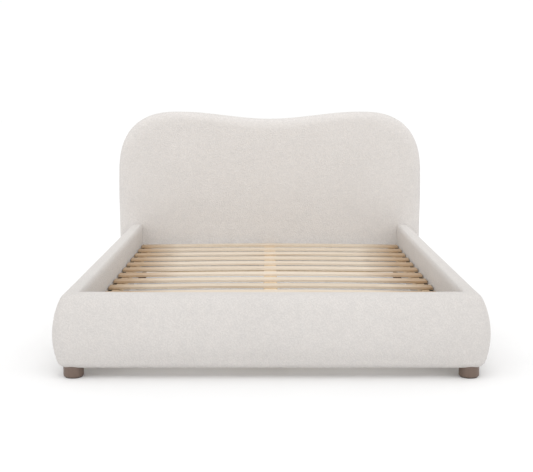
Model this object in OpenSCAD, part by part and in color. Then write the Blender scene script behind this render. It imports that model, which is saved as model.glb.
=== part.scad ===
// Upholstered bed with a two-hump headboard, barrel-section rails and a slat base.
// Millimetres. +X to the right, +Y from foot to head, +Z up.
// The origin is on the floor, at the middle of the bed's length and width.

/* [Mattress] */
// Width of the mattress that the well holds
mattress_w = 1524; // [1200:1:1950]
// Length of the mattress that the well holds
mattress_l = 2032; // [1650:1:2450]
// Clear space between the mattress and each side of the well
mattress_gap = 10; // [5:1:25]

/* [Rails and footboard] */
// Height of the rail tops above the floor
rail_top = 340; // [320:1:420]
// Height of the gap under the upholstery
under_gap = 45; // [35:1:60]
// Thickness of a side rail at its widest
rail_t = 108; // [83:1:140]
// Thickness of the footboard at its widest
footboard_t = 110; // [83:1:140]
// How far the outer faces bulge, from their furthest edge to the widest point
bulge = 45; // [30:0.1:48]
// How far the widest point lies below the rail tops
bulge_drop = 171; // [150:1:190]
// Rounding of the top outer edge
top_round = 31; // [20:1:40]
// Rounding of the bottom outer edge
base_round = 30; // [20:1:40]
// Plan radius of the corners at the foot end
plan_round = 70; // [55:1:78]

/* [Headboard] */
// How far the headboard stands out past the rails on each side
head_overhang = 31; // [10:1:150]
// Height of the headboard above the floor
head_h = 1019; // [850:1:1250]
// Thickness of the headboard
head_t = 90; // [85:1:120]
// Distance from the headboard's sides to the tops of the humps
hump_in = 361; // [250:1:450]
// Depth of the dip between the humps
dip = 44; // [10:1:80]
// Drop from the hump tops to where the sides become straight
shoulder_drop = 379; // [300:1:430]
// Squareness of the shoulders: 2 is an ellipse, and more is squarer
shoulder_power = 2.4; // [2:0.1:4]

/* [Upholstery and cores] */
// Thickness of the fabric cover
cover_t = 3; // [2:0.5:5]
// Thickness of the foam on the inner faces of the rails
inner_foam_t = 8; // [5:1:15]
// Thickness of the timber cores of the rails and footboard
core_t = 28; // [22:1:35]
// Foam above the timber cores
top_foam_t = 30; // [20:1:45]
// Thickness of the headboard's front foam, and of its fixing board
head_foam_t = 25; // [18:1:30]
// Thickness of the foam band round the headboard's edge
edge_foam_t = 20; // [12:1:30]
// Thickness of the headboard's shaped panel
panel_t = 15; // [12:1:18]
// Width of the headboard's posts and cross rails
post_w = 70; // [50:1:90]

/* [Slat base] */
// Number of slats
slat_count = 13; // [10:1:16]
// Width of a slat
slat_w = 68; // [50:1:80]
// Thickness of a slat
slat_t = 12; // [9:1:18]
// How far the slat tops lie below the rail tops, at the rails
slat_drop = 116; // [95:1:125]
// How far a slat arches up at its middle
slat_arch = 8; // [0:1:20]
// Clearance between the slat ends and the rails
slat_end_gap = 4; // [2:1:10]
// Width of the ledges that carry the slats
cleat_w = 55; // [40:1:70]
// Height of those ledges
cleat_h = 30; // [22:1:32]
// Width of the webbing that joins the slats
webbing_w = 18; // [12:1:30]
// Thickness of the webbing
webbing_t = 2; // [1:0.5:3]
// Width of the centre rail
centre_w = 65; // [45:1:80]
// Height of the centre rail
centre_h = 45; // [35:1:60]
// Width and depth of the centre legs
leg_w = 45; // [38:1:60]

/* [Feet and hardware] */
// Diameter of the round timber feet
foot_d = 82; // [60:1:90]
// Distance from the rails' widest point to the middle of a foot
foot_in = 80; // [60:1:90]
// Distance from the footboard's inner face, or the headboard's front, to the middle of a foot
foot_set = 45; // [42:1:47]
// Thickness of the felt pad under each foot
pad_t = 3; // [2:0.5:5]
// Diameter of the foot bolts and corner bolts
bolt_d = 8; // [6:1:10]
// Thickness of the steel of the brackets
bracket_t = 4; // [3:0.5:6]
// Length of each wing of a corner bracket
bracket_wing = 60; // [45:1:80]
// Height of a corner bracket
bracket_h = 100; // [80:1:115]
// Diameter of a levelling glide's pad
glide_d = 40; // [30:1:45]
// Height of a levelling glide's pad
glide_h = 8; // [6:1:12]
// How far a glide screws up from rest
glide_up = 15; // [10:1:18]
// How far a glide screws down from rest
glide_down = 5; // [3:1:10]

/* [Hidden] */
$fn = 48;
arc_steps = 8;
bulge_steps = 6;      // on each side of the widest point
dip_steps = 12;
shoulder_steps = 14;
slat_steps = 20;
cut = 1;              // how far a cutting tool runs past the face it cuts
bolt_gap = 0.3;       // radial clearance of a bolt in its hole
stem_gap = 0.1;       // radial clearance of a glide's stem in its leg
fixing_gap = 1;
seat_gap = 0.5;       // clearance between the centre rail and what it seats on
well_w = mattress_w + 2 * mattress_gap;
well_l = mattress_l + 2 * mattress_gap;
half_w = well_w / 2 + rail_t;
foot_x = half_w - foot_in;
head_w = 2 * (half_w + head_overhang);
hump_x = head_w / 2 - hump_in;
total_l = footboard_t + well_l + head_t;
y_foot = footboard_t - total_l / 2;   // inner face of the footboard
y_head = y_foot + well_l;             // front face of the headboard
y_back = y_head + head_t;
bulge_z = rail_top - bulge_drop;
bulge_span = max(bulge_drop, bulge_z - under_gap);
bulge_r = (pow(bulge_span, 2) + pow(bulge, 2)) / (2 * bulge);
core_in = cover_t + inner_foam_t;     // depth of a core behind its inner face
core_out = core_in + core_t;
core_z = under_gap + cover_t;
core_top = rail_top - top_foam_t;
panel_y = cover_t + head_foam_t;      // depths behind the headboard's front face
post_y = panel_y + panel_t;
lining_y = head_t - cover_t;
post_top = head_h - shoulder_drop;
slat_z = rail_top - slat_drop;        // slat tops at the rails
slat_under = slat_z - slat_t;
fixing_top = slat_z - fixing_gap;       // the fixing board ends just below the slat tops
slat_pitch = well_l / slat_count;
slat_l = well_w - 2 * slat_end_gap;
cleat_top = slat_under - webbing_t;
cleat_inset = 20;                     // each end of a cleat stops short of the corner
centre_top = slat_under + slat_arch - seat_gap;
centre_under = centre_top - centre_h;
cup_t = 3;                            // steel of the centre rail's end brackets
cup_depth = 50;
cup_wall = 35;
glide_clear = 5;                      // left between a glide's pad and its leg when screwed right up
stem_hold = 25;                       // thread that stays in the leg when a glide is screwed right down
leg_z = glide_h + glide_up + glide_clear;
stem_l = glide_up + glide_clear + glide_down + stem_hold;
foot_y_front = y_foot - foot_set;
foot_y_back = y_head + foot_set;
block_w = 80;                         // timber blocks that the foot bolts screw into
block_h = 62;
block_reach = 14;                     // how far a block runs past its bolt
core_overrun = 10;                    // how far the footboard's core runs past its bolts
foot_bolt_l = 75;
foot_bolt_z = under_gap - 31;
foot_edge = 6;                        // rounding of a foot's lower edge
head_d = 2 * bolt_d;
head_h_bolt = 5;
bracket_z = under_gap + 13;
bolt_in = 24;                         // length of a corner bolt inside the timber
fixing_bite = 21;
screw_d = 5;
screw_head_d = 10;
screw_head_t = 3;
screws_per_cleat = 7;
screw_in = 20;
leg_names = ["foot", "middle", "head"];
side_names = ["left", "right"];

timber = [0.86, 0.77, 0.62];
pine = [0.89, 0.84, 0.74];
plywood = [0.80, 0.68, 0.50];
fabric = [0.87, 0.85, 0.82];
foam = [0.93, 0.90, 0.78];
black_web = [0.10, 0.10, 0.10];
steel = [0.55, 0.56, 0.58];
stained = [0.42, 0.34, 0.28];
felt = [0.30, 0.29, 0.28];
nylon = [0.15, 0.15, 0.16];

function slat_name(i) = str("slat_", i < 9 ? "0" : "", i + 1);

// ---- outlines ----

// Points of an arc from angle a0 to a1, leaving out the first "skip" of them.
function arc(cx, cz, r, a0, a1, n, skip = 0) =
    [for (i = [skip:n]) let (a = a0 + (a1 - a0) * i / n) [cx + r * cos(a), cz + r * sin(a)]];

// Where the centre of an edge rounding lies, measured from the widest point.
function round_x(r, z) = -bulge_r + sqrt(pow(bulge_r - r, 2) - pow(z - bulge_z, 2));

// Outer edge of the barrel section from top to bottom, d inside the outer surface.
// x is 0 at the widest point and negative towards the bed.
function barrel_edge(d) =
    let (
        zt = rail_top - top_round,
        zb = under_gap + base_round,
        xt = round_x(top_round, zt),
        xb = round_x(base_round, zb),
        at = atan2(zt - bulge_z, xt + bulge_r),
        ab = atan2(zb - bulge_z, xb + bulge_r)
    )
    concat(
        arc(xt, zt, top_round - d, 90, at, arc_steps),
        arc(-bulge_r, bulge_z, bulge_r - d, at, 0, bulge_steps, 1),
        arc(-bulge_r, bulge_z, bulge_r - d, 0, ab, bulge_steps, 1),
        arc(xb, zb, base_round - d, ab, -90, arc_steps, 1)
    );

// Barrel section closed by a straight inner side at x = inner.
module barrel_section(d, inner) {
    polygon(concat(
        [[inner, under_gap + d], [inner, rail_top - d]],
        barrel_edge(d)
    ));
}

// Half of the headboard's outline from the centreline to the floor side, d inside it.
function headboard_half(d) =
    let (
        top = head_h - d,
        side = head_w / 2 - d,
        shoulder_z = head_h - shoulder_drop
    )
    concat(
        [for (i = [0:dip_steps]) let (x = hump_x * i / dip_steps)
            [x, top - dip / 2 - dip / 2 * cos(180 * x / hump_x)]],
        [for (i = [1:shoulder_steps]) let (a = 90 - 90 * i / shoulder_steps)
            [hump_x + (side - hump_x) * pow(cos(a), 2 / shoulder_power),
             shoulder_z + (top - shoulder_z) * pow(sin(a), 2 / shoulder_power)]],
        [[side, under_gap + d]]
    );

// Slab of the headboard's outline between two depths behind the front face.
module headboard_slab(d, y0, y1) {
    half = headboard_half(d);
    mirrored = [for (i = [len(half) - 1:-1:1]) [-half[i][0], half[i][1]]];
    translate([0, y_head + y1, 0])
        rotate([90, 0, 0])
            linear_extrude(y1 - y0)
                polygon(concat(half, mirrored));
}

// ---- helpers ----

// Box between two corners.
module span(lo, hi) {
    translate(lo)
        cube(hi - lo);
}

// Rod along X, from x0 to x1.
module rod_x(x0, x1, y, z, d) {
    translate([min(x0, x1), y, z])
        rotate([0, 90, 0])
            cylinder(h = abs(x1 - x0), d = d);
}

// Rod along Y, from y0 to y1.
module rod_y(x, y0, y1, z, d) {
    translate([x, max(y0, y1), z])
        rotate([90, 0, 0])
            cylinder(h = abs(y1 - y0), d = d);
}

// Puts a right-hand piece on the left.
module on_side(side) {
    mirror([side == "left" ? 1 : 0, 0, 0])
        children();
}

module on_both_sides() {
    for (s = side_names)
        on_side(s)
            children();
}

bracket_bolt_z = [bracket_z + 25, bracket_z + bracket_h - 25];
bolt_off = bracket_wing - 20;         // from the corner to a bolt, along a wing

// ---- bolt and screw positions, right-hand side ----

module rail_bolts(d, x0, x1) {
    for (z = bracket_bolt_z)
        for (y = [y_foot + bolt_off, y_head - bolt_off])
            rod_x(x0, x1, y, z, d);
}

module end_bolts(d, y0, y1, x_face) {
    for (z = bracket_bolt_z)
        rod_y(x_face - bolt_off, y0, y1, z, d);
}

module cleat_screw_rods(d, x0, x1) {
    for (i = [0:screws_per_cleat - 1]) {
        y = y_foot + 120 + (well_l - 240) * i / (screws_per_cleat - 1);
        rod_x(x0, x1, y, cleat_top - cleat_h / 2, d);
    }
}

cup_screw_z = centre_under - cup_t + 26;
module cup_screw_rods(d, y0, y1) {
    for (x = [-15, 15])
        rod_y(x, y0, y1, cup_screw_z, d);
}

module rail_holes() {
    rail_bolts(bolt_d + 2 * bolt_gap, well_w / 2 - cut, well_w / 2 + core_in + bolt_in + cut);
    cleat_screw_rods(screw_d + 2 * bolt_gap, well_w / 2 - cut, well_w / 2 + core_in + screw_in + cut);
}

module footboard_holes() {
    on_both_sides()
        end_bolts(bolt_d + 2 * bolt_gap, y_foot - core_in - bolt_in - cut, y_foot + cut, well_w / 2);
    cup_screw_rods(screw_d + 2 * bolt_gap, y_foot - core_in - screw_in - cut, y_foot + cut);
    for (x = [-foot_x, foot_x])
        foot_bolt_hole(x, foot_y_front);
}

module headboard_holes() {
    on_both_sides()
        end_bolts(bolt_d + 2 * bolt_gap, y_head - cut, y_head + cover_t + fixing_bite + cut, well_w / 2);
    cup_screw_rods(screw_d + 2 * bolt_gap, y_head - cut, y_head + cover_t + screw_in + cut);
    for (x = [-foot_x, foot_x])
        foot_bolt_hole(x, foot_y_back);
}

module foot_bolt_hole(x, y) {
    translate([x, y, foot_bolt_z])
        cylinder(h = foot_bolt_l + cut, d = bolt_d + 2 * bolt_gap);
}

// ---- headboard ----

module headboard_cover() {
    color(fabric)
        difference() {
            headboard_slab(0, 0, head_t);
            headboard_slab(cover_t, cover_t, head_t + cut);
            headboard_holes();
        }
}

module fixing_board_body() {
    span([-foot_x - block_w / 2, y_head + cover_t, core_z],
         [foot_x + block_w / 2, y_head + panel_y, fixing_top]);
}

module headboard_foam() {
    color(foam)
        difference() {
            headboard_slab(cover_t, cover_t, lining_y);
            headboard_slab(cover_t + edge_foam_t, panel_y, head_t);
            span([-head_w / 2 + cover_t + edge_foam_t, y_head + panel_y, 0],
                 [head_w / 2 - cover_t - edge_foam_t, y_back, post_top]);
            fixing_board_body();
            headboard_holes();
        }
}

module headboard_panel() {
    color(plywood)
        difference() {
            headboard_slab(cover_t + edge_foam_t, panel_y, post_y);
            span([-head_w, y_head, 0], [head_w, y_back, fixing_top]);
        }
}

// A post fills the depth behind the fixing board at its foot, so that the foot bolt bites.
module headboard_post(side) {
    color(timber)
        on_side(side)
            difference() {
                union() {
                    span([foot_x - post_w / 2, y_head + post_y, core_z],
                         [foot_x + post_w / 2, y_head + lining_y, post_top]);
                    span([foot_x - post_w / 2, y_head + panel_y, core_z],
                         [foot_x + post_w / 2, y_head + lining_y, fixing_top]);
                }
                headboard_holes();
            }
}

module headboard_cross_rails() {
    rail_z = [core_z, (core_z + post_top - post_w) / 2, post_top - post_w];
    color(timber)
        for (z = rail_z)
            span([-foot_x + post_w / 2, y_head + post_y, z],
                 [foot_x - post_w / 2, y_head + lining_y, z + post_w]);
}

module headboard_fixing_board() {
    color(plywood)
        difference() {
            fixing_board_body();
            headboard_holes();
        }
}

module headboard_back_lining() {
    color(fabric)
        headboard_slab(cover_t, lining_y, head_t);
}

// ---- footboard ----

// Barrel footboard with rounded plan corners, d inside its outer surface.
module footboard_body(d) {
    corner_x = half_w - plan_round;
    corner_y = y_foot - footboard_t + plan_round;
    translate([-corner_x, corner_y, 0])
        rotate([90, 0, 90])
            linear_extrude(2 * corner_x)
                mirror([1, 0])
                    translate([plan_round, 0])
                        barrel_section(d, -footboard_t + d);
    on_both_sides()
        translate([corner_x, corner_y, 0]) {
            rotate([0, 0, -90])
                rotate_extrude(angle = 90)
                    translate([plan_round, 0])
                        barrel_section(d, -plan_round);
            translate([0, footboard_t - plan_round - d, 0])
                rotate([90, 0, 0])
                    linear_extrude(footboard_t - plan_round - d)
                        translate([plan_round, 0])
                            barrel_section(d, -plan_round);
        }
}

module footboard_core_body() {
    span([-foot_x - core_overrun, y_foot - core_out, core_z],
         [foot_x + core_overrun, y_foot - core_in, core_top]);
}

// The blocks are shaped to the curve that the foam's outside has down there.
module footboard_blocks_body() {
    intersection() {
        footboard_body(cover_t);
        on_both_sides()
            span([foot_x - block_w / 2, foot_y_front - block_reach, core_z],
                 [foot_x + core_overrun, y_foot - core_out, core_z + block_h]);
    }
}

module footboard_cover() {
    color(fabric)
        difference() {
            footboard_body(0);
            footboard_body(cover_t);
            footboard_holes();
        }
}

module footboard_foam() {
    color(foam)
        difference() {
            footboard_body(cover_t);
            footboard_core_body();
            footboard_blocks_body();
            footboard_holes();
        }
}

module footboard_core() {
    color(plywood)
        difference() {
            footboard_core_body();
            footboard_holes();
        }
}

module footboard_blocks() {
    color(timber)
        difference() {
            footboard_blocks_body();
            footboard_holes();
        }
}

// ---- side rails ----

module rail_run(d) {
    translate([half_w, y_head, 0])
        rotate([90, 0, 0])
            linear_extrude(well_l)
                barrel_section(d, -rail_t + d);
}

module rail_core_body() {
    span([well_w / 2 + core_in, y_foot, core_z],
         [well_w / 2 + core_out, y_head, core_top]);
}

// The cover is open at both ends, where the rail butts the headboard and the footboard.
module rail_cover(side) {
    color(fabric)
        on_side(side)
            difference() {
                rail_run(0);
                rail_inside();
                rail_holes();
            }
}

module rail_inside() {
    translate([half_w, y_head + cut, 0])
        rotate([90, 0, 0])
            linear_extrude(well_l + 2 * cut)
                barrel_section(cover_t, -rail_t + cover_t);
}

module rail_foam(side) {
    color(foam)
        on_side(side)
            difference() {
                rail_run(cover_t);
                span([well_w / 2 + core_in, y_foot - cut, core_z],
                     [well_w / 2 + core_out, y_head + cut, core_top]);
                rail_holes();
            }
}

module rail_core(side) {
    color(plywood)
        on_side(side)
            difference() {
                rail_core_body();
                rail_holes();
            }
}

// ---- slat base ----

module cleat(side) {
    color(timber)
        on_side(side)
            difference() {
                span([well_w / 2 - cleat_w, y_foot + cleat_inset, cleat_top - cleat_h],
                     [well_w / 2, y_head - cleat_inset, cleat_top]);
                cleat_screw_rods(screw_d + 2 * bolt_gap, well_w / 2 - cleat_w - cut, well_w / 2 + cut);
            }
}

module cleat_screws() {
    color(steel)
        on_both_sides() {
            cleat_screw_rods(screw_d, well_w / 2 - cleat_w, well_w / 2 + core_in + screw_in);
            cleat_screw_rods(screw_head_d, well_w / 2 - cleat_w - screw_head_t, well_w / 2 - cleat_w);
        }
}

function slat_rise(x) = slat_arch * cos(90 * x / (slat_l / 2));

module slat(i) {
    xs = [for (k = [0:slat_steps]) -slat_l / 2 + slat_l * k / slat_steps];
    top = [for (x = xs) [x, slat_z + slat_rise(x)]];
    under = [for (k = [slat_steps:-1:0]) [xs[k], slat_under + slat_rise(xs[k])]];
    color(pine)
        translate([0, y_foot + slat_pitch * (i + 0.5) + slat_w / 2, 0])
            rotate([90, 0, 0])
                linear_extrude(slat_w)
                    polygon(concat(top, under));
}

module webbing(side) {
    color(black_web)
        on_side(side)
            span([well_w / 2 - slat_end_gap - webbing_w, y_foot + slat_pitch / 2, cleat_top],
                 [well_w / 2 - slat_end_gap, y_head - slat_pitch / 2, slat_under]);
}

// ---- centre support ----

module centre_rail() {
    end = cup_t + seat_gap;
    color(timber)
        span([-centre_w / 2, y_foot + end, centre_under],
             [centre_w / 2, y_head - end, centre_top]);
}

// Steel cup that holds an end of the centre rail.
module cup_body() {
    half = centre_w / 2 + seat_gap;
    base_z = centre_under - cup_t;
    difference() {
        span([-half - cup_t, 0, base_z], [half + cup_t, cup_depth, base_z + cup_wall]);
        span([-half, cup_t, centre_under], [half, cup_depth + cut, base_z + cup_wall + cut]);
    }
}

module centre_bracket_foot() {
    color(steel)
        difference() {
            translate([0, y_foot, 0])
                cup_body();
            cup_screw_rods(screw_d + 2 * bolt_gap, y_foot - cut, y_foot + cup_t + cut);
        }
}

module centre_bracket_head() {
    color(steel)
        difference() {
            translate([0, y_head, 0])
                mirror([0, 1, 0])
                    cup_body();
            cup_screw_rods(screw_d + 2 * bolt_gap, y_head - cup_t - cut, y_head + cut);
        }
}

// The screws are countersunk flush, so they clear the rail that sits in the cup.
module centre_bracket_screws() {
    color(steel) {
        cup_screw_rods(screw_d, y_foot - core_in - screw_in, y_foot + cup_t);
        cup_screw_rods(screw_d, y_head - cup_t, y_head + cover_t + screw_in);
    }
}

function leg_y(k) = y_foot + well_l * (k + 1) / (len(leg_names) + 1);

module centre_leg(k) {
    color(timber)
        difference() {
            span([-leg_w / 2, leg_y(k) - leg_w / 2, leg_z],
                 [leg_w / 2, leg_y(k) + leg_w / 2, centre_under]);
            translate([0, leg_y(k), leg_z - cut])
                cylinder(h = stem_l + cut, d = bolt_d + 2 * stem_gap);
        }
}

module glide(k) {
    color(nylon)
        translate([0, leg_y(k), 0]) {
            cylinder(h = glide_h, d = glide_d);
            cylinder(h = glide_h + stem_l, d = bolt_d);
        }
}

// ---- feet and hardware ----

module corner_bracket_right(end) {
    dir = end == "foot" ? 1 : -1;
    y0 = end == "foot" ? y_foot : y_head;
    x0 = well_w / 2;
    hole = bolt_d + 2 * bolt_gap;
    difference() {
        translate([x0, y0, bracket_z])
            mirror([0, dir == 1 ? 0 : 1, 0])
                union() {
                    span([-bracket_wing, 0, 0], [0, bracket_t, bracket_h]);
                    span([-bracket_t, 0, 0], [0, bracket_wing, bracket_h]);
                }
        rail_bolts(hole, x0 - bracket_t - cut, x0 + cut);
        end_bolts(hole, y0 - bracket_t - cut, y0 + bracket_t + cut, x0);
    }
}

module corner_bracket(end, side) {
    color(steel)
        on_side(side)
            corner_bracket_right(end);
}

module corner_bolts() {
    x0 = well_w / 2;
    color(steel)
        on_both_sides() {
            rail_bolts(bolt_d, x0 - bracket_t, x0 + core_in + bolt_in);
            rail_bolts(head_d, x0 - bracket_t - head_h_bolt, x0 - bracket_t);
            end_bolts(bolt_d, y_foot - core_in - bolt_in, y_foot + bracket_t, x0);
            end_bolts(head_d, y_foot + bracket_t, y_foot + bracket_t + head_h_bolt, x0);
            end_bolts(bolt_d, y_head - bracket_t, y_head + cover_t + fixing_bite, x0);
            end_bolts(head_d, y_head - bracket_t - head_h_bolt, y_head - bracket_t, x0);
        }
}

module foot(end, side) {
    y = end == "front" ? foot_y_front : foot_y_back;
    r = foot_d / 2;
    color(stained)
        on_side(side)
            difference() {
                translate([foot_x, y, 0])
                    rotate_extrude()
                        polygon(concat(
                            [[0, under_gap], [0, pad_t]],
                            arc(r - foot_edge, pad_t + foot_edge, foot_edge, -90, 0, arc_steps),
                            [[r, under_gap]]
                        ));
                foot_bolt_hole(foot_x, y);
            }
}

module foot_bolts() {
    color(steel)
        for (x = [-foot_x, foot_x])
            for (y = [foot_y_front, foot_y_back])
                translate([x, y, foot_bolt_z])
                    cylinder(h = foot_bolt_l, d = bolt_d);
}

module foot_pads() {
    color(felt)
        for (x = [-foot_x, foot_x])
            for (y = [foot_y_front, foot_y_back])
                translate([x, y, 0])
                    cylinder(h = pad_t, d = foot_d - 2 * foot_edge);
}

headboard_cover();
headboard_foam();
headboard_panel();
headboard_post("left");  // headboard_post_left
headboard_post("right");  // headboard_post_right
headboard_cross_rails();
headboard_fixing_board();
headboard_back_lining();
footboard_cover();
footboard_foam();
footboard_core();
footboard_blocks();
for (s = side_names) {
    rail_cover(s);
    rail_foam(s);
    rail_core(s);
    cleat(s);
    webbing(s);
}
cleat_screws();
for (i = [0:slat_count - 1])
    slat(i);
centre_rail();
centre_bracket_foot();
centre_bracket_head();
for (k = [0:len(leg_names) - 1]) {
    centre_leg(k);
    glide(k);
}
for (e = ["foot", "head"])
    for (s = side_names)
        corner_bracket(e, s);
corner_bolts();
centre_bracket_screws();
for (e = ["front", "back"])
    for (s = side_names)
        foot(e, s);
foot_bolts();
foot_pads();
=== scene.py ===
# %% [markdown]
# An upholstered bed with a two-hump headboard, built up as a maker would build it.
# The timber and steel parts come ready from the frame. What is left is everything soft, the slats and
# feet, and a finish for every surface. Each step below says what the piece is on the real bed, how it
# could be made, and why this way was chosen.

# %% Load the frame
import math

import bmesh
import bpy
import numpy as np
from mathutils import Matrix, Vector


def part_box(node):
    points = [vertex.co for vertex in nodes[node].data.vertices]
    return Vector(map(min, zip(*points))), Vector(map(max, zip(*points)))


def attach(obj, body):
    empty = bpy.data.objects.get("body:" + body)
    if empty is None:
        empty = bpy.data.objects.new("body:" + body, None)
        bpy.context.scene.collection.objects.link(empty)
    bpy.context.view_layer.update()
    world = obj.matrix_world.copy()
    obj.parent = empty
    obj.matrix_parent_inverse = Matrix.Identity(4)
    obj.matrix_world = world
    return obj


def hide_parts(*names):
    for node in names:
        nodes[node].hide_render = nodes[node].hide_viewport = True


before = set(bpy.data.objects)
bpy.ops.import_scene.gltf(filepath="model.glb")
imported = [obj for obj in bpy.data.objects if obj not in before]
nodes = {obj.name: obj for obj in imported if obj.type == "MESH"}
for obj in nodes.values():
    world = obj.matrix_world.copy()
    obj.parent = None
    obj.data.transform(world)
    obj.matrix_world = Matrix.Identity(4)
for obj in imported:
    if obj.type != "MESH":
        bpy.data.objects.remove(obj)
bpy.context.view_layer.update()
print("frame pieces:", len(nodes))

# %% [markdown]
# The camera stands a little above the rails and looks down by about eight degrees, straight at the foot
# of the bed. A long lens keeps the rails from fanning out. The place and the lens are plain numbers, so
# anyone can move the camera and put it back.

# %% Camera
camera_data = bpy.data.cameras.new("studio_camera")
camera_data.sensor_width = 36.0
camera_data.lens = 67.77
camera_data.clip_end = 60.0
camera = bpy.data.objects.new("studio_camera", camera_data)
camera.location = (-0.0194, -5.0035, 1.1444)
camera.rotation_euler = (math.pi / 2 - 0.1437, 0.0, 0.0)
bpy.context.scene.collection.objects.link(camera)
bpy.context.scene.camera = camera
print("camera stands", round(-camera.location.y - 1.016, 3), "m in front of the footboard's inner face")

# %% [markdown]
# A white studio has light from everywhere, with some more from in front and above. An evenly white world
# gives the first part. Two very broad, distant lights give the second, one from each side of the front.
# They fall on the whole floor alike, so it stays white out to the horizon, and their wide angle keeps
# every shadow edge soft. A panel high up in front, with a grid that keeps its beam narrow, lifts the
# headboard, which would otherwise be a shade darker than the footboard.

# %% Studio
scene = bpy.context.scene
scene.view_settings.view_transform = "Standard"
scene.view_settings.look = "None"
world = bpy.data.worlds.new("studio_air")
scene.world = world
world.use_nodes = True
world.node_tree.nodes["Background"].inputs["Color"].default_value = (1.0, 1.0, 1.0, 1.0)
world.node_tree.nodes["Background"].inputs["Strength"].default_value = 1.01


def broad_light(name, towards, strength):
    """A distant light with a very wide angle. It is equally strong everywhere."""
    data = bpy.data.lights.new(name, "SUN")
    data.energy = strength
    data.angle = math.radians(70.0)
    light = bpy.data.objects.new(name, data)
    light.rotation_euler = Vector(towards).to_track_quat("-Z", "Y").to_euler()
    scene.collection.objects.link(light)


def soft_panel(name, place, aim, width, height, watts):
    """A large soft light with a grid, so that it reaches only what it faces."""
    data = bpy.data.lights.new(name, "AREA")
    data.shape = "RECTANGLE"
    data.size = width
    data.size_y = height
    data.energy = watts
    data.spread = math.radians(50.0)
    light = bpy.data.objects.new(name, data)
    light.location = place
    light.rotation_euler = (Vector(aim) - Vector(place)).to_track_quat("-Z", "Y").to_euler()
    scene.collection.objects.link(light)


broad_light("broad_light_left", (0.50, 0.65, -0.57), 0.50)
broad_light("broad_light_right", (-0.50, 0.65, -0.57), 0.50)
soft_panel("headboard_panel", (0.0, -3.6, 4.2), (0.0, 1.05, 0.85), 2.0, 1.2, 6.0)

# %% [markdown]
# Finishes are built from nodes. Every pattern reads object coordinates, in metres, so its scale is the
# real one: a scale of 200 on a cell pattern gives loops about 5 mm across. The helpers below only save
# typing: one adds a node and fills its sockets, and the other starts a material with its main shader.

# %% Material helpers
def add_node(tree, kind, **settings):
    """Adds a node. Settings with a capital letter are sockets, the others are properties."""
    node = tree.nodes.new(kind)
    for key, value in settings.items():
        if key[0].isupper():
            node.inputs[key.replace("_", " ")].default_value = value
        else:
            setattr(node, key, value)
    return node


def start_material(name, roughness, specular=0.5, metallic=0.0):
    """A material with one main shader, and the object coordinates that its patterns read."""
    material = bpy.data.materials.new(name)
    material.use_nodes = True
    tree = material.node_tree
    shader = tree.nodes["Principled BSDF"]
    shader.inputs["Roughness"].default_value = roughness
    shader.inputs["Specular IOR Level"].default_value = specular
    shader.inputs["Metallic"].default_value = metallic
    place = add_node(tree, "ShaderNodeTexCoord").outputs["Object"]
    return material, tree, shader, place


def stretched(tree, place, scale):
    """Coordinates scaled along each axis, for a grain or a weave."""
    mapping = add_node(tree, "ShaderNodeMapping", Scale=scale)
    tree.links.new(place, mapping.inputs["Vector"])
    return mapping.outputs["Vector"]


def noise(tree, where, scale, detail=3.0, roughness=0.5, distortion=0.0):
    node = add_node(tree, "ShaderNodeTexNoise", Scale=scale, Detail=detail, Roughness=roughness,
                    Distortion=distortion)
    tree.links.new(where, node.inputs["Vector"])
    return node.outputs["Fac"]


def remap(tree, value, low, high, to_low, to_high):
    node = add_node(tree, "ShaderNodeMapRange", clamp=True)
    tree.links.new(value, node.inputs["Value"])
    for key, number in (("From Min", low), ("From Max", high), ("To Min", to_low), ("To Max", to_high)):
        node.inputs[key].default_value = number
    return node.outputs["Result"]


def mixed(tree, amount, colour_a, colour_b, blend="MIX"):
    """Mixes two colours. Each is a plain colour or another node's output."""
    node = add_node(tree, "ShaderNodeMix", data_type="RGBA", blend_type=blend)
    for socket, value in ((node.inputs[0], amount), (node.inputs[6], colour_a), (node.inputs[7], colour_b)):
        if isinstance(value, bpy.types.NodeSocket):
            tree.links.new(value, socket)
        elif isinstance(value, tuple):
            socket.default_value = (*value, 1.0)
        else:
            socket.default_value = value
    return node.outputs[2]


def summed(tree, first, second, kind="ADD"):
    node = add_node(tree, "ShaderNodeMath", operation=kind)
    for socket, value in ((node.inputs[0], first), (node.inputs[1], second)):
        if isinstance(value, bpy.types.NodeSocket):
            tree.links.new(value, socket)
        else:
            socket.default_value = value
    return node.outputs[0]


def bumped(tree, height, shader, distance, strength=1.0):
    node = add_node(tree, "ShaderNodeBump", Distance=distance, Strength=strength)
    tree.links.new(height, node.inputs["Height"])
    tree.links.new(node.outputs["Normal"], shader.inputs["Normal"])
    return node


print("material helpers ready")
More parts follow.
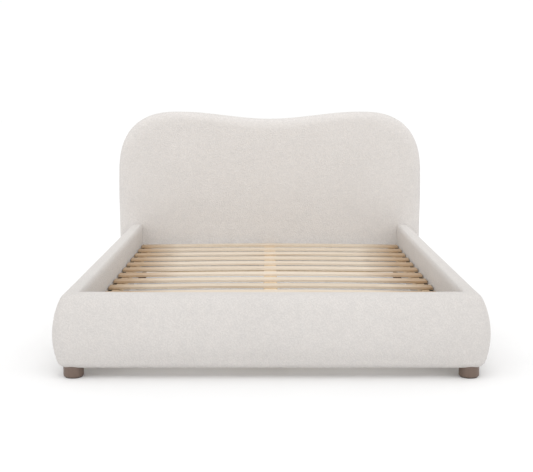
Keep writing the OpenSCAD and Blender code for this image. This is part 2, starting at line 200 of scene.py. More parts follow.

# %% [markdown]
# Bouclé is a cloth of small looped yarns. Seen close, each loop is a rounded nub 4 to 6 mm across with a
# shaded hollow round it. From a few metres only a fine mottle is left. It could be sculpted, but loops
# this small on five square metres of cloth are tens of thousands of shapes. A cell pattern, warped by
# noise so that no two loops match, gives the bump, and a darker colour painted into the crevices as
# painted shade.

# %% Bouclé
def make_boucle(name, loop, painted_crevice_shade):
    material, tree, shader, place = start_material(name, 0.95, specular=0.2)
    warp = add_node(tree, "ShaderNodeTexNoise", Scale=95.0, Detail=2.0)
    tree.links.new(place, warp.inputs["Vector"])
    bend = add_node(tree, "ShaderNodeMix", data_type="VECTOR")
    bend.inputs[0].default_value = 0.012
    tree.links.new(place, bend.inputs[4])
    tree.links.new(warp.outputs["Color"], bend.inputs[5])
    curled = bend.outputs[1]
    nubs = add_node(tree, "ShaderNodeTexVoronoi", feature="SMOOTH_F1", Scale=165.0, Smoothness=0.35,
                    Randomness=1.0)
    tree.links.new(curled, nubs.inputs["Vector"])
    strands = noise(tree, curled, 520.0, detail=3.0, roughness=0.6)
    roundness = remap(tree, nubs.outputs["Distance"], 0.1, 0.75, 1.0, 0.0)
    height = summed(tree, roundness, summed(tree, strands, 0.45, "MULTIPLY"))
    depth = remap(tree, height, 0.35, 1.15, 0.0, 1.0)
    cloud = noise(tree, place, 34.0, detail=4.0, roughness=0.65)
    broad = noise(tree, place, 5.0, detail=2.0)
    # Painted shade: the crevices between the loops get the darker colour.
    yarn = mixed(tree, depth, painted_crevice_shade, loop)
    tint = mixed(tree, remap(tree, cloud, 0.3, 0.7, 0.0, 1.0), (0.965, 0.968, 0.972), (1.025, 1.022, 1.018))
    yarn = mixed(tree, 1.0, yarn, tint, "MULTIPLY")
    drift = mixed(tree, remap(tree, broad, 0.3, 0.7, 0.0, 1.0), (0.985, 0.985, 0.985), (1.01, 1.01, 1.01))
    yarn = mixed(tree, 1.0, yarn, drift, "MULTIPLY")
    tree.links.new(yarn, shader.inputs["Base Color"])
    shader.inputs["Sheen Weight"].default_value = 0.18
    shader.inputs["Sheen Roughness"].default_value = 0.6
    shader.inputs["Sheen Tint"].default_value = (1.0, 0.98, 0.96, 1.0)
    bumped(tree, height, shader, 0.0018, 0.6)
    return material


# The second colour is the painted shade in the crevices between the loops.
boucle = make_boucle("pale_boucle", (0.624, 0.597, 0.575), (0.561, 0.536, 0.516))
print("finish:", boucle.name)

# %% [markdown]
# The lining on the back is a thin plain weave, tacked on flat. Two sets of fine bands at right angles give
# the over-and-under of the threads.

# %% Lining
def make_weave(name, colour, shade, threads, depth, roughness=0.9):
    material, tree, shader, place = start_material(name, roughness, specular=0.2)
    across = add_node(tree, "ShaderNodeTexWave", bands_direction="X", Scale=threads / math.tau * 0.3,
                      Distortion=0.6, Detail=2.0)
    along = add_node(tree, "ShaderNodeTexWave", bands_direction="Z", Scale=threads / math.tau * 0.3,
                     Distortion=0.6, Detail=2.0)
    tree.links.new(place, across.inputs["Vector"])
    tree.links.new(place, along.inputs["Vector"])
    cloth = summed(tree, across.outputs["Fac"], along.outputs["Fac"], "MULTIPLY")
    slub = noise(tree, stretched(tree, place, (1.0, 1.0, 0.15)), 220.0, detail=3.0)
    tone = summed(tree, summed(tree, cloth, 0.6, "MULTIPLY"), summed(tree, slub, 0.5, "MULTIPLY"))
    tree.links.new(mixed(tree, remap(tree, tone, 0.15, 0.8, 0.0, 1.0), shade, colour),
                   shader.inputs["Base Color"])
    bumped(tree, tone, shader, depth, 0.6)
    return material


lining = make_weave("woven_lining", (0.66, 0.63, 0.59), (0.47, 0.44, 0.41), 2600.0, 0.0006)
print("finish:", lining.name)

# %% [markdown]
# Planed timber is long streaks of pale and darker wood that run with the board, a few fine pores, and here
# and there a knot. The streaks are noise stretched along the board. The slats are cut from many
# boards, so each one gets its own tone and its own piece of the pattern, from its place along the bed.
# Towards both ends, under the rails, the slats also get a painted shade.

# %% Timber
def make_wood(name, along, pale, dark, streak=0.55, knots=0.0, pitch=0.0, roughness=0.6, first=0.0):
    """along is the axis the grain runs with: 0 for x, 1 for y and 2 for z."""
    material, tree, shader, place = start_material(name, roughness, specular=0.35)
    if pitch:
        parts = add_node(tree, "ShaderNodeSeparateXYZ")
        tree.links.new(place, parts.inputs[0])
        number = summed(tree, summed(tree, parts.outputs["Y"], -first, "ADD"), pitch, "DIVIDE")
        board = add_node(tree, "ShaderNodeTexWhiteNoise", noise_dimensions="1D")
        tree.links.new(summed(tree, number, 0.0, "FLOOR"), board.inputs["W"])
        own = board.outputs["Value"]
        shift = add_node(tree, "ShaderNodeVectorMath", operation="ADD")
        tree.links.new(place, shift.inputs[0])
        tree.links.new(board.outputs["Color"], shift.inputs[1])
        place = shift.outputs[0]
    grain = [46.0, 46.0, 46.0]
    grain[along] = 1.5
    fine = [520.0, 520.0, 520.0]
    fine[along] = 9.0
    streaks = noise(tree, stretched(tree, place, tuple(grain)), 1.0, detail=5.0, roughness=0.55,
                    distortion=0.7)
    pores = noise(tree, stretched(tree, place, tuple(fine)), 1.0, detail=2.0)
    tone = remap(tree, streaks, 0.5 - streak * 0.45, 0.5 + streak * 0.45, 0.0, 1.0)
    middle = tuple(0.5 * (a + b) for a, b in zip(pale, dark))
    colour = mixed(tree, tone, pale, middle)
    colour = mixed(tree, remap(tree, streaks, 0.56, 0.74, 0.0, 0.85), colour, dark)
    colour = mixed(tree, remap(tree, pores, 0.55, 0.75, 0.0, 0.35), colour, dark)
    if pitch:
        wash = mixed(tree, own, (0.93, 0.91, 0.88), (1.04, 1.04, 1.05))
        colour = mixed(tree, 1.0, colour, wash, "MULTIPLY")
        # Painted shade: each slat is darkened and warmed towards both ends, where the rails shade it,
        # starting a little differently on each slat.
        from_middle = summed(tree, parts.outputs["X"], 0.0, "ABSOLUTE")
        rail_shade_reach = summed(tree, from_middle, summed(tree, own, 0.12, "MULTIPLY"))
        painted_rail_shade = mixed(tree, remap(tree, rail_shade_reach, 0.56, 0.76, 0.0, 1.0), (1.0, 1.0, 1.0), (0.68, 0.56, 0.44))
        colour = mixed(tree, 1.0, colour, painted_rail_shade, "MULTIPLY")
    if knots:
        size = [11.0, 11.0, 11.0]
        size[along] = 3.4
        spots = add_node(tree, "ShaderNodeTexVoronoi", feature="F1", Scale=1.0, Randomness=1.0)
        tree.links.new(stretched(tree, place, tuple(size)), spots.inputs["Vector"])
        eye = remap(tree, spots.outputs["Distance"], 0.035, 0.10, knots, 0.0)
        colour = mixed(tree, eye, colour, tuple(0.45 * c for c in dark))
    tree.links.new(colour, shader.inputs["Base Color"])
    bumped(tree, summed(tree, streaks, summed(tree, pores, 0.5, "MULTIPLY")), shader, 0.0006, 0.5)
    return material


slat_pitch = 2.052 / 13
FOOT_Y = -1.016
slat_pine = make_wood("slat_pine", 0, (0.685, 0.608, 0.508), (0.56, 0.44, 0.315), streak=0.5, knots=0.3,
                      pitch=slat_pitch, roughness=0.55, first=FOOT_Y)
rail_timber = make_wood("rail_timber", 1, (0.72, 0.575, 0.40), (0.53, 0.39, 0.24), knots=0.5)
leg_timber = make_wood("leg_timber", 2, (0.72, 0.575, 0.40), (0.53, 0.39, 0.24), knots=0.4)
cross_timber = make_wood("cross_timber", 0, (0.72, 0.575, 0.40), (0.53, 0.39, 0.24), knots=0.4)
stained_wood = make_wood("stained_wood", 2, (0.170, 0.121, 0.096), (0.092, 0.064, 0.052), streak=0.8,
                         roughness=0.42)
print("finishes:", slat_pine.name, rail_timber.name, stained_wood.name)

# %% [markdown]
# Plywood shows broad, soft figure on its face and thin glued layers on its edge. Bands a couple of
# millimetres thick through the sheet give the layers.

# %% Plywood
def make_plywood(name, through):
    """through is the axis across the sheet's thickness."""
    material, tree, shader, place = start_material(name, 0.7, specular=0.3)
    figure = [9.0, 9.0, 1.2]
    streaks = noise(tree, stretched(tree, place, tuple(figure)), 3.0, detail=6.0, distortion=0.9)
    parts = add_node(tree, "ShaderNodeSeparateXYZ")
    tree.links.new(place, parts.inputs[0])
    layer = add_node(tree, "ShaderNodeMath", operation="PINGPONG")
    tree.links.new(summed(tree, parts.outputs[through], 1.0, "ADD"), layer.inputs[0])
    layer.inputs[1].default_value = 0.0025
    plies = remap(tree, layer.outputs[0], 0.0009, 0.0016, 0.0, 0.4)
    colour = mixed(tree, remap(tree, streaks, 0.3, 0.7, 0.0, 1.0), (0.66, 0.50, 0.32), (0.50, 0.35, 0.20))
    colour = mixed(tree, plies, colour, (0.36, 0.24, 0.13))
    tree.links.new(colour, shader.inputs["Base Color"])
    bumped(tree, streaks, shader, 0.0004, 0.4)
    return material


sheet_plywood = make_plywood("sheet_plywood", "Y")
rail_plywood = make_plywood("rail_plywood", "X")
print("finishes:", sheet_plywood.name, rail_plywood.name)

# %% [markdown]
# The small parts: zinc plate is a grey metal with faint cloudy patches, webbing is a black ribbed tape,
# felt is matted fibre, and the glides are moulded nylon with a fine grain.

# %% Steel, webbing, felt and nylon
def make_steel(name):
    material, tree, shader, place = start_material(name, 0.38, specular=0.5, metallic=1.0)
    clouds = noise(tree, place, 60.0, detail=5.0, roughness=0.7)
    tree.links.new(mixed(tree, clouds, (0.50, 0.51, 0.53), (0.66, 0.67, 0.68)), shader.inputs["Base Color"])
    tree.links.new(remap(tree, clouds, 0.3, 0.7, 0.30, 0.46), shader.inputs["Roughness"])
    bumped(tree, noise(tree, place, 900.0, detail=2.0), shader, 0.0001, 0.4)
    return material


def make_webbing(name):
    material, tree, shader, place = start_material(name, 0.8, specular=0.3)
    ribs = add_node(tree, "ShaderNodeTexWave", bands_direction="Y", Scale=140.0, Distortion=0.4)
    tree.links.new(place, ribs.inputs["Vector"])
    cords = add_node(tree, "ShaderNodeTexWave", bands_direction="X", Scale=110.0, Distortion=0.3)
    tree.links.new(place, cords.inputs["Vector"])
    height = summed(tree, ribs.outputs["Fac"], summed(tree, cords.outputs["Fac"], 0.6, "MULTIPLY"))
    tree.links.new(mixed(tree, remap(tree, height, 0.2, 1.4, 0.0, 1.0), (0.006, 0.006, 0.006),
                         (0.030, 0.029, 0.028)), shader.inputs["Base Color"])
    bumped(tree, height, shader, 0.0005, 0.7)
    return material


def make_fibre(name, light, dark, scale, depth, roughness):
    material, tree, shader, place = start_material(name, roughness, specular=0.3)
    matted = noise(tree, place, scale, detail=6.0, roughness=0.7, distortion=1.2)
    tree.links.new(mixed(tree, remap(tree, matted, 0.3, 0.7, 0.0, 1.0), dark, light),
                   shader.inputs["Base Color"])
    bumped(tree, matted, shader, depth, 0.6)
    return material


zinc_steel = make_steel("zinc_steel")
black_webbing = make_webbing("black_webbing")
grey_felt = make_fibre("grey_felt", (0.10, 0.095, 0.09), (0.045, 0.042, 0.04), 700.0, 0.0006, 0.95)
black_nylon = make_fibre("black_nylon", (0.026, 0.026, 0.028), (0.016, 0.016, 0.018), 1500.0, 0.0001, 0.45)
pad_foam = make_fibre("pad_foam", (0.86, 0.81, 0.66), (0.74, 0.68, 0.52), 900.0, 0.0006, 0.95)
print("finishes:", zinc_steel.name, black_webbing.name, grey_felt.name, black_nylon.name)

# %% [markdown]
# The ready parts from the frame keep their shape and get the finish of what they are made of.

# %% Finishes for the ready parts
finish_of = {
    "headboard_cover": boucle, "headboard_foam": pad_foam, "headboard_panel": sheet_plywood,
    "headboard_post": leg_timber, "headboard_cross_rails": cross_timber,
    "headboard_fixing_board": sheet_plywood, "headboard_back_lining": lining,
    "footboard_cover": boucle, "footboard_foam": pad_foam, "footboard_core": sheet_plywood,
    "footboard_blocks": cross_timber, "rail_cover": boucle, "rail_foam": pad_foam,
    "rail_core": rail_plywood, "cleat_screws": zinc_steel, "cleat": rail_timber, "slat": slat_pine,
    "webbing": black_webbing, "centre_rail": rail_timber, "centre_bracket": zinc_steel,
    "centre_leg": leg_timber, "glide": black_nylon, "corner_bracket": zinc_steel,
    "corner_bolts": zinc_steel, "foot_bolts": zinc_steel, "foot_pads": grey_felt, "foot": stained_wood,
}
for name, piece in nodes.items():
    key = max((k for k in finish_of if name.startswith(k)), key=len)
    piece.data.materials.clear()
    piece.data.materials.append(finish_of[key])
print("parts with a finish:", len(nodes))

# %% [markdown]
# The rails and the footboard share one section: flat inside, barrel-shaped outside, with rounded edges.
# It is drawn as with a compass. A corner is swung round its centre with the spin operator, which lays
# a row of edges along the arc, so the radii stay exact and no point is worked out by hand.

# %% The barrel section
RAIL_TOP = 0.340
UNDER = 0.045
INNER_X = 0.772
OUTER_X = 0.880
WIDEST_Z = 0.169
BARREL_R = 0.3474
TOP_R = 0.029
BASE_R = 0.030
DEPTH = 0.110
HEAD_Y = 1.036
PLAN_R = 0.070
SHRINK = 0.0008
TOP_LIFT = 0.003


def swing(bm, vert, centre, degrees, steps):
    """Lays edges along an arc round a centre in the section's plane, and returns the last vertex."""
    out = bmesh.ops.spin(bm, geom=[vert], cent=centre, axis=(0.0, 1.0, 0.0), angle=math.radians(degrees),
                         steps=steps, use_merge=False, use_duplicate=False)
    return next(g for g in out["geom_last"] if isinstance(g, bmesh.types.BMVert))


def reach(bm, vert, place):
    """Runs a straight edge to a place, and returns its vertex."""
    last = bm.verts.new(place)
    bm.edges.new((vert, last))
    return last


def draw_section(bm, inner_x, inner_round=0.010):
    """Draws the section on the right-hand side as one face, a shade slimmer than it will be once swelled."""
    inner = inner_x + SHRINK
    top = RAIL_TOP + TOP_LIFT
    base = UNDER + SHRINK
    barrel = Vector((OUTER_X - BARREL_R, 0.0, WIDEST_Z))
    top_z = RAIL_TOP - TOP_R
    top_x = barrel.x + math.sqrt((BARREL_R - TOP_R) ** 2 - (top_z - WIDEST_Z) ** 2)
    base_z = UNDER + BASE_R
    base_x = barrel.x + math.sqrt((BARREL_R - BASE_R) ** 2 - (base_z - WIDEST_Z) ** 2)
    top_angle = math.degrees(math.atan2(top_z - WIDEST_Z, top_x - barrel.x))
    base_angle = math.degrees(math.atan2(base_z - WIDEST_Z, base_x - barrel.x))
    first = bm.verts.new((inner, 0.0, base))
    point = reach(bm, first, (inner, 0.0, top - inner_round))
    if inner_round:
        point = swing(bm, point, (inner + inner_round, 0.0, top - inner_round), 90.0, 4)
    point = reach(bm, point, (top_x, 0.0, top))
    point = swing(bm, point, (top_x, 0.0, top_z), 90.0 - top_angle, 6)
    point = swing(bm, point, barrel, top_angle - base_angle, 16)
    point = swing(bm, point, (base_x, 0.0, base_z), base_angle + 90.0, 7)
    bm.edges.new((point, first))
    return bmesh.ops.contextual_create(bm, geom=list(bm.edges))["faces"]


trial = bmesh.new()
draw_section(trial, INNER_X)
trial_x = [v.co.x for v in trial.verts]
trial_z = [v.co.z for v in trial.verts]
print("section:", round(max(trial_x) - min(trial_x), 4), "by", round(max(trial_z) - min(trial_z), 4), "m")
trial.free()

# %% [markdown]
# One padded U: a rail each side and the footboard across, with a quarter turn at each corner. Each run is
# the section pushed along or swung round, and the runs overlap a little. They are joined by remeshing,
# which keeps only the outer skin and gives even cells that swell evenly.

# %% The padded U
def run_along(bm, faces, step):
    """Pushes a section along by a step."""
    out = bmesh.ops.extrude_face_region(bm, geom=faces, use_keep_orig=True)
    moved = [g for g in out["geom"] if isinstance(g, bmesh.types.BMVert)]
    bmesh.ops.translate(bm, vec=step, verts=moved)


def new_piece(name, bm, finish):
    """Turns a bmesh into an object at the origin, with its finish."""
    mesh = bpy.data.meshes.new(name)
    bm.to_mesh(mesh)
    bm.free()
    mesh.materials.append(finish)
    piece = bpy.data.objects.new(name, mesh)
    scene.collection.objects.link(piece)
    return piece


def build_rail_run(bm):
    """One rail, from the middle of the corner to past the headboard's face."""
    faces = draw_section(bm, INNER_X)
    start = FOOT_Y - DEPTH + PLAN_R - 0.001
    bmesh.ops.translate(bm, vec=(0.0, start, 0.0), verts=bm.verts)
    run_along(bm, faces, (0.0, HEAD_Y + 0.022 - start, 0.0))


def build_corner(bm):
    """A quarter turn of the section round the corner's centre."""
    faces = draw_section(bm, OUTER_X - PLAN_R - SHRINK, inner_round=0.0)
    centre = (OUTER_X - PLAN_R, FOOT_Y - DEPTH + PLAN_R, 0.0)
    bmesh.ops.translate(bm, vec=(0.0, centre[1], 0.0), verts=bm.verts)
    bmesh.ops.rotate(bm, cent=centre, matrix=Matrix.Rotation(math.radians(1.0), 3, "Z"), verts=bm.verts)
    bmesh.ops.spin(bm, geom=faces, cent=centre, axis=(0.0, 0.0, 1.0), angle=math.radians(-92.0), steps=14,
                   use_merge=False, use_duplicate=False)


def build_footboard_run(bm):
    """The footboard between its two corners."""
    faces = draw_section(bm, OUTER_X - DEPTH)
    bmesh.ops.translate(bm, vec=(-OUTER_X, 0.0, 0.0), verts=bm.verts)
    bmesh.ops.rotate(bm, cent=(0.0, 0.0, 0.0), matrix=Matrix.Rotation(math.radians(-90.0), 3, "Z"),
                     verts=bm.verts)
    half = OUTER_X - PLAN_R + 0.001
    bmesh.ops.translate(bm, vec=(-half, FOOT_Y - DEPTH, 0.0), verts=bm.verts)
    run_along(bm, faces, (2 * half, 0.0, 0.0))


def closed_copy(bm, mirror_x=False):
    """A copy of a run with its faces outwards, mirrored for the other side if asked."""
    copy = bm.copy()
    if mirror_x:
        bmesh.ops.scale(copy, vec=(-1.0, 1.0, 1.0), verts=copy.verts)
    bmesh.ops.recalc_face_normals(copy, faces=copy.faces)
    return copy


runs = []
for build, both in ((build_rail_run, True), (build_corner, True), (build_footboard_run, False)):
    run = bmesh.new()
    build(run)
    bmesh.ops.remove_doubles(run, verts=run.verts, dist=0.00005)
    runs.append(closed_copy(run))
    if both:
        runs.append(closed_copy(run, mirror_x=True))
    run.free()

padded_u = bmesh.new()
for run in runs:
    part = bpy.data.meshes.new("run")
    run.to_mesh(part)
    run.free()
    padded_u.from_mesh(part)
    bpy.data.meshes.remove(part)
base_pad = new_piece("base_pad", padded_u, boucle)
print("runs joined:", len(runs), "open edges:", sum(1 for e in base_pad.data.edges if e.is_loose))

# %% [markdown]
# Upholstery foam pushes its cloth out between the places where it is tacked down. A short cloth simulation
# does that: a pressure inside swells the skin, while the tacked places are held. The cloth first gets even
# cells by remeshing. How far it may move is limited, because a bed is covered tightly and hardly crowns.

# %% Swelling the cloth
def settle(piece):
    """Applies a piece's modifiers to its mesh."""
    graph = bpy.context.evaluated_depsgraph_get()
    fresh = bpy.data.meshes.new_from_object(piece.evaluated_get(graph))
    old = piece.data
    piece.modifiers.clear()
    piece.data = fresh
    bpy.data.meshes.remove(old)


def even_cells(piece, size):
    remesh = piece.modifiers.new("even_cells", "REMESH")
    remesh.mode = "VOXEL"
    remesh.voxel_size = size
    remesh.use_smooth_shade = True
    settle(piece)


def points_of(mesh):
    flat = np.zeros(len(mesh.vertices) * 3, np.float32)
    mesh.vertices.foreach_get("co", flat)
    return flat.reshape(-1, 3).astype(float)


def swell(piece, tacked, pressure, most):
    """Blows the cloth up a little. tacked says how firmly each point is held, from 0 to 1.

    Only the firmly held points are pinned. The others keep part of their movement, so no line shows
    where the held stretch begins.
    """
    rest = points_of(piece.data)
    hold = tacked(rest)
    group = piece.vertex_groups.new(name="tacked")
    group.add([int(i) for i in np.nonzero(hold > 0.95)[0]], 1.0, "REPLACE")
    cloth = piece.modifiers.new("stuffing", "CLOTH")
    cloth.settings.quality = 4
    cloth.settings.mass = 0.3
    cloth.settings.use_pressure = True
    cloth.settings.uniform_pressure_force = pressure
    cloth.settings.tension_stiffness = 18.0
    cloth.settings.compression_stiffness = 18.0
    cloth.settings.shear_stiffness = 6.0
    cloth.settings.bending_stiffness = 0.6
    cloth.settings.vertex_group_mass = "tacked"
    cloth.settings.effector_weights.gravity = 0.0
    cloth.point_cache.frame_start = 1
    cloth.point_cache.frame_end = 20
    for step in range(1, 21):
        scene.frame_set(step)
    graph = bpy.context.evaluated_depsgraph_get()
    puffed = points_of(piece.evaluated_get(graph).data)
    piece.modifiers.clear()
    piece.vertex_groups.clear()
    scene.frame_set(1)
    move = puffed - rest
    far = np.linalg.norm(move, axis=1, keepdims=True)
    limited = most * np.tanh(far / most) * (1.0 - hold[:, None])
    rest += move * limited / np.maximum(far, 1e-9)
    piece.data.vertices.foreach_set("co", rest.astype(np.float32).ravel())
    piece.data.update()
    print(piece.name, "swelled by up to", round(float(limited.max()) * 1000, 1), "mm, mean",
          round(float(limited.mean()) * 1000, 1), "mm, free move", round(float(far.max()) * 1000, 1), "mm")


def base_tacked(at):
    """Held underneath, inside below the slats, and where the rails meet the headboard."""
    x = np.abs(at[:, 0])
    y = at[:, 1]
    z = at[:, 2]
    underneath = np.clip((0.085 - z) / 0.03, 0, 1)
    inside = (x < INNER_X + 0.006) & (y > FOOT_Y - 0.008)
    ledge = np.where(inside, np.clip((0.272 - z) / 0.05, 0, 1), 0)
    head_end = np.clip((y - 0.990) / 0.04, 0, 1)
    return np.maximum(np.maximum(underneath, ledge), head_end)


even_cells(base_pad, 0.011)
print("base pad cells:", len(base_pad.data.polygons))
swell(base_pad, base_tacked, 0.25, 0.0022)

# %% [markdown]
# The skin is subdivided once, so that its cells no longer show, and then cut into the three pieces that
# are really made: two rails and a footboard, bolted together. The cut edges are rounded by a
# millimetre, as cloth turned over an edge is, which leaves the fine line where two covers meet. Before
# the cut, the footboard's inner face is pressed flat just short of the cutting plane. Otherwise its
# swelling would leave slivers on the rails' pieces.

# %% Cutting the U into rails and footboard
def smooth_once(piece):
    finer = piece.modifiers.new("finer", "SUBSURF")
    finer.levels = 1
    finer.render_levels = 1
    settle(piece)


def cut_piece(name, source, planes, finish):
    """The part of a closed skin that lies behind each plane, with its cut ends closed and eased."""
    bm = bmesh.new()
    bm.from_mesh(source.data)
    for place, outward in planes:
        geom = list(bm.verts) + list(bm.edges) + list(bm.faces)
        cut = bmesh.ops.bisect_plane(bm, geom=geom, plane_co=place, plane_no=outward, clear_outer=True)
        rim = [g for g in cut["geom_cut"] if isinstance(g, bmesh.types.BMEdge)]
        if not rim:
            continue
        caps = bmesh.ops.edgenet_fill(bm, edges=rim)["faces"]
        for cap in caps:
            cap.smooth = False
        inset = bmesh.ops.inset_region(bm, faces=caps, thickness=0.0015, depth=0.0, use_even_offset=False)
        for face in inset["faces"]:
            face.smooth = True
        bmesh.ops.translate(bm, vec=Vector(outward) * -0.0009, verts=list({v for e in rim for v in e.verts}))
    bmesh.ops.recalc_face_normals(bm, faces=bm.faces)
    piece = new_piece(name, bm, finish)
    print(name, "faces:", len(piece.data.polygons), "cut ends:", len(planes))
    return piece


smooth_once(base_pad)
FACE_GAP = 0.0004
for vert in base_pad.data.vertices:
    between_rails = abs(vert.co.x) < INNER_X - 0.004
    at_inner_face = FOOT_Y - 0.012 < vert.co.y < FOOT_Y + 0.020
    if between_rails and at_inner_face:
        vert.co.y = min(vert.co.y, FOOT_Y - FACE_GAP)
footboard = cut_piece("footboard_upholstery", base_pad, [((0, FOOT_Y, 0), (0, 1, 0))], boucle)
rail_planes = [((0, FOOT_Y, 0), (0, -1, 0)), ((0, HEAD_Y, 0), (0, 1, 0))]
rail_left = cut_piece("rail_upholstery_left", base_pad, rail_planes + [((0, 0, 0), (1, 0, 0))], boucle)
rail_right = cut_piece("rail_upholstery_right", base_pad, rail_planes + [((0, 0, 0), (-1, 0, 0))], boucle)
bpy.data.objects.remove(base_pad)

# %% Telling the frame about the base
for piece, end in ((footboard, "footboard"), (rail_left, "rail"), (rail_right, "rail")):
    side = piece.name.rsplit("_", 1)[1] if end == "rail" else ""
    tail = "_" + side if side else ""
    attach(piece, "bed")
    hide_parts(end + "_cover" + tail, end + "_foam" + tail)
print("base upholstery stands for its covers and foam")

# %% [markdown]
# The headboard is a thick pad with two soft humps and a shallow dip. Its outline is two simple curves: a
# slow wave across the top, and a squarish quarter of an oval for each shoulder. The slab is extruded
# from that outline, its front edge is bevelled wide and its back edge narrow, and it is swelled.

# %% Headboard outline
HEAD_TOP = 1.019
HEAD_HALF = 0.911
HEAD_BACK = 1.126
HUMP_X = 0.550
DIP = 0.044
SHOULDER_Z = 0.640
SQUARENESS = 2.5
SPREAD = 0.002
PAD_BACK = HEAD_BACK - 0.003


def headboard_outline(inset):
    """Half of the outline, from the middle of the top to the bottom of the side."""
    top = HEAD_TOP - inset
    side = HEAD_HALF - inset
    half = []
    for i in range(19):
        x = HUMP_X * i / 18
        half.append((x, top - DIP / 2 - DIP / 2 * math.cos(math.pi * x / HUMP_X)))
    for i in range(1, 25):
        angle = math.radians(90 - 90 * i / 24)
        half.append((HUMP_X + (side - HUMP_X) * max(math.cos(angle), 0.0) ** (2 / SQUARENESS),
                     SHOULDER_Z + (top - SHOULDER_Z) * max(math.sin(angle), 0.0) ** (2 / SQUARENESS)))
    half.append((side, UNDER + inset))
    return half


def outline_face(bm, inset, y):
    """One face with the headboard's outline, at a depth y."""
    half = headboard_outline(inset)
    ring = half + [(-x, z) for x, z in reversed(half) if x > 1e-6]
    return bm.faces.new([bm.verts.new((x, y, z)) for x, z in ring])


half = headboard_outline(0.0)
print("headboard:", round(2 * max(x for x, z in half), 3), "m wide,", round(max(z for x, z in half), 3),
      "m tall, dip", round(max(z for x, z in half) - half[0][1], 3), "m")

# %% Headboard pad
head_bm = bmesh.new()
front_face = outline_face(head_bm, -SPREAD, HEAD_Y + SHRINK)
grown = bmesh.ops.extrude_face_region(head_bm, geom=[front_face], use_keep_orig=True)
back_verts = [g for g in grown["geom"] if isinstance(g, bmesh.types.BMVert)]
bmesh.ops.translate(head_bm, vec=(0.0, PAD_BACK - HEAD_Y - SHRINK, 0.0), verts=back_verts)
bmesh.ops.recalc_face_normals(head_bm, faces=head_bm.faces)
front_edges = [e for e in head_bm.edges if all(abs(v.co.y - HEAD_Y - SHRINK) < 1e-5 for v in e.verts)]
bmesh.ops.bevel(head_bm, geom=front_edges, offset=0.034, offset_type="OFFSET", segments=8, profile=0.5,
                affect="EDGES", material=-1)
back_edges = [e for e in head_bm.edges if all(abs(v.co.y - PAD_BACK) < 1e-5 for v in e.verts)]
bmesh.ops.bevel(head_bm, geom=back_edges, offset=0.006, offset_type="OFFSET", segments=3, profile=0.5,
                affect="EDGES", material=-1)
headboard = new_piece("headboard_upholstery", head_bm, boucle)


def headboard_tacked(at):
    """Held round the back, underneath, and more and more towards the part between the rails."""
    behind = np.clip((at[:, 1] - HEAD_BACK + 0.030) / 0.012, 0, 1)
    low = np.clip((0.500 - at[:, 2]) / 0.16, 0, 1)
    underneath = np.clip((0.100 - at[:, 2]) / 0.04, 0, 1)
    return np.maximum(np.maximum(behind, low), underneath)


even_cells(headboard, 0.011)
print("headboard cells:", len(headboard.data.polygons))
swell(headboard, headboard_tacked, 0.4, 0.004)
# The cloth is drawn square round the lower back edge, so that it covers the timber inside.
for vert in headboard.data.vertices:
    if vert.co.z < UNDER + 0.013:
        vert.co.z = UNDER + 0.0003
        if vert.co.y > HEAD_BACK - 0.015:
            vert.co.y = HEAD_BACK - 0.0008
smooth_once(headboard)
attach(headboard, "bed")
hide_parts("headboard_cover", "headboard_foam")

# %% [markdown]
# The back of the headboard is closed with a flat sheet of lining, turned under at its edge and tacked
# down. It is the same outline, a little smaller, with a thin edge.

# %% Back lining
lining_bm = bmesh.new()
lining_face = outline_face(lining_bm, 0.016, HEAD_BACK - 0.0025)
lining_area = lining_face.calc_area()
turned = bmesh.ops.inset_region(lining_bm, faces=[lining_face], thickness=0.012, use_even_offset=True)
grown = bmesh.ops.extrude_face_region(lining_bm, geom=list(lining_bm.faces), use_keep_orig=True)
bmesh.ops.translate(lining_bm, vec=(0.0, 0.0016, 0.0),
                    verts=[g for g in grown["geom"] if isinstance(g, bmesh.types.BMVert)])
bmesh.ops.recalc_face_normals(lining_bm, faces=lining_bm.faces)
edges = [e for e in lining_bm.edges if len(e.link_faces) == 2 and e.calc_face_angle() > 1.0]
bmesh.ops.bevel(lining_bm, geom=edges, offset=0.0006, offset_type="OFFSET", segments=2, profile=0.5,
                affect="EDGES", material=-1)
back_lining = new_piece("back_lining", lining_bm, lining)
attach(back_lining, "bed")
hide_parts("headboard_back_lining")
print("lining:", round(lining_area, 3), "square metres")

# %% [markdown]
# A slat is a thin pine board, arched slightly so that it gives under weight. A block is stretched to the
# board's size, cut across so that it can bend, and its long edges are eased by two millimetres.

# %% Slats
SLAT_L = 1.536
SLAT_W = 0.068
SLAT_T = 0.012
SLAT_Z = 0.224
ARCH = 0.008


def board(name, low, high, ease, finish, cuts=0, axis=0, segments=3):
    """A sawn board between two corners, with eased edges."""
    low = Vector(low)
    high = Vector(high)
    size = high - low
    bm = bmesh.new()
    bmesh.ops.create_cube(bm, size=1.0)
    bmesh.ops.scale(bm, vec=size, verts=bm.verts)
    bmesh.ops.translate(bm, vec=(low + high) / 2, verts=bm.verts)
    bmesh.ops.bevel(bm, geom=list(bm.edges), offset=ease, offset_type="OFFSET", segments=segments,
                    profile=0.5, affect="EDGES", material=-1)
    if cuts:
        lengthwise = [e for e in bm.edges if e.calc_length() > size[axis] * 0.8]
        bmesh.ops.subdivide_edges(bm, edges=lengthwise, cuts=cuts, use_grid_fill=True)
    for face in bm.faces:
        face.smooth = max(abs(c) for c in face.normal) < 0.99
    return new_piece(name, bm, finish)


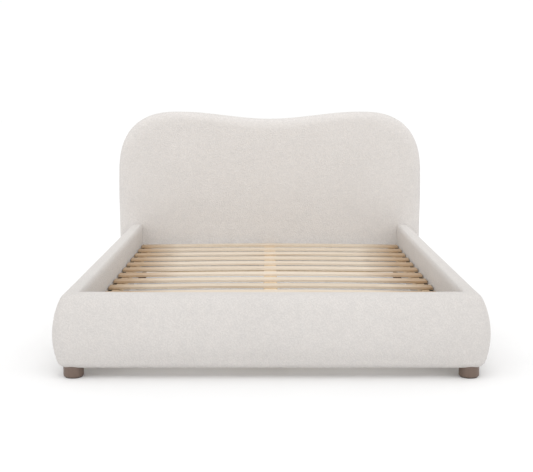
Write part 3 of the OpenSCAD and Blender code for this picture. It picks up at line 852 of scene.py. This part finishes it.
for i in range(13):
    y = FOOT_Y + slat_pitch * (i + 0.5)
    number = str(i + 1).zfill(2)
    slat = board("pine_slat_" + number, (-SLAT_L / 2, y - SLAT_W / 2, SLAT_Z - SLAT_T),
                 (SLAT_L / 2, y + SLAT_W / 2, SLAT_Z), 0.0014, slat_pine, cuts=24)
    for vert in slat.data.vertices:
        vert.co.z += ARCH * math.cos(math.pi / 2 * vert.co.x / (SLAT_L / 2))
    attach(slat, "bed")
    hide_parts("slat_" + number)
print("slats: 13 at a pitch of", round(slat_pitch * 1000, 1), "mm, faces each:", len(slat.data.polygons))

# %% [markdown]
# Sawn rails, ledges and legs are the same kind of board with wider easing. The ledges carry the slats and
# their webbing. The centre rail carries the slats' middles on three legs.

# %% Ledges, centre rail and legs
def timber_for(node, ease, finish, axis):
    """A board with eased edges that stands for a sawn part of the frame."""
    low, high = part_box(node)
    piece = board("eased_" + node, low, high, ease, finish, axis=axis)
    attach(piece, "bed")
    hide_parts(node)
    return piece


for side in ("left", "right"):
    timber_for("cleat_" + side, 0.002, rail_timber, 1)
timber_for("centre_rail", 0.003, rail_timber, 1)
for name in ("foot", "middle", "head"):
    timber_for("centre_leg_" + name, 0.003, leg_timber, 2)
print("sawn parts with eased edges: 6")

# %% [markdown]
# The webbing is a flat woven tape, stapled under every slat so that they stay the same distance apart. It
# is soft, so between slats it hangs a little. It is made as a strip, cut across and lowered between
# the slats, and given a tape's thin rounded edge.

# %% Webbing
for side, sign in (("left", -1), ("right", 1)):
    low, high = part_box("webbing_" + side)
    bm = bmesh.new()
    width = high.x - low.x
    length = high.y - low.y
    bmesh.ops.create_grid(bm, x_segments=2, y_segments=96, size=0.5)
    bmesh.ops.scale(bm, vec=(width, length, 1.0), verts=bm.verts)
    bmesh.ops.translate(bm, vec=((low.x + high.x) / 2, (low.y + high.y) / 2, high.z - 0.0004), verts=bm.verts)
    for vert in bm.verts:
        across = (vert.co.y - FOOT_Y) / slat_pitch % 1.0
        gap = max(0.0, abs(across - 0.5) - 0.22) / 0.28
        vert.co.z -= 0.0004 * math.sin(math.pi / 2 * gap)
    tape = new_piece("tape_" + side, bm, black_webbing)
    thick = tape.modifiers.new("tape_thickness", "SOLIDIFY")
    thick.thickness = 0.0012
    thick.offset = -1.0
    round_edge = tape.modifiers.new("tape_edge", "BEVEL")
    round_edge.width = 0.0005
    round_edge.segments = 2
    round_edge.limit_method = "ANGLE"
    settle(tape)
    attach(tape, "bed")
    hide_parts("webbing_" + side)
    print(tape.name, round(length, 3), "m long,", round(width * 1000, 1), "mm wide")

# %% [markdown]
# The feet are turned. Half of a foot's outline is drawn once and spun all the way round, with the
# doubled seam merged. The lower edge is rounded so that it doesn't chip.

# %% Feet
FOOT_R = 0.041
for node in ("foot_front_left", "foot_front_right", "foot_back_left", "foot_back_right"):
    low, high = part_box(node)
    middle = (low + high) / 2
    bm = bmesh.new()
    base = low.z
    top = high.z + 0.010
    point = bm.verts.new((0.0, 0.0, base))
    point = reach(bm, point, (FOOT_R - 0.006, 0.0, base))
    point = swing(bm, point, (FOOT_R - 0.006, 0.0, base + 0.006), -90.0, 8)
    point = reach(bm, point, (FOOT_R, 0.0, high.z - 0.004))
    point = reach(bm, point, (FOOT_R - 0.001, 0.0, top))
    point = reach(bm, point, (0.0, 0.0, top))
    bmesh.ops.spin(bm, geom=list(bm.verts) + list(bm.edges), cent=(0.0, 0.0, 0.0), axis=(0.0, 0.0, 1.0),
                   angle=math.tau, steps=96, use_merge=True, use_duplicate=False)
    bmesh.ops.remove_doubles(bm, verts=bm.verts, dist=0.00002)
    bmesh.ops.recalc_face_normals(bm, faces=bm.faces)
    for face in bm.faces:
        face.smooth = abs(face.normal.z) < 0.98
    bmesh.ops.translate(bm, vec=(middle.x, middle.y, 0.0), verts=bm.verts)
    turned_foot = new_piece("turned_" + node, bm, stained_wood)
    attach(turned_foot, "bed")
    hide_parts(node)
print("feet: 4, each", round(2000 * FOOT_R), "mm across")

# %% [markdown]
# The floor is a plain pale sheet, large enough to fill every view.

# %% Floor
floor_bm = bmesh.new()
bmesh.ops.create_grid(floor_bm, x_segments=4, y_segments=4, size=30.0)
floor_material, floor_tree, floor_shader, floor_place = start_material("pale_floor", 0.9, specular=0.1)
tone = remap(floor_tree, noise(floor_tree, floor_place, 3.0), 0.3, 0.7, 0.0, 1.0)
floor_tree.links.new(mixed(floor_tree, tone, (0.880, 0.880, 0.880), (0.890, 0.890, 0.890)),
                     floor_shader.inputs["Base Color"])
floor = new_piece("floor", floor_bm, floor_material)
print("floor:", floor.name)
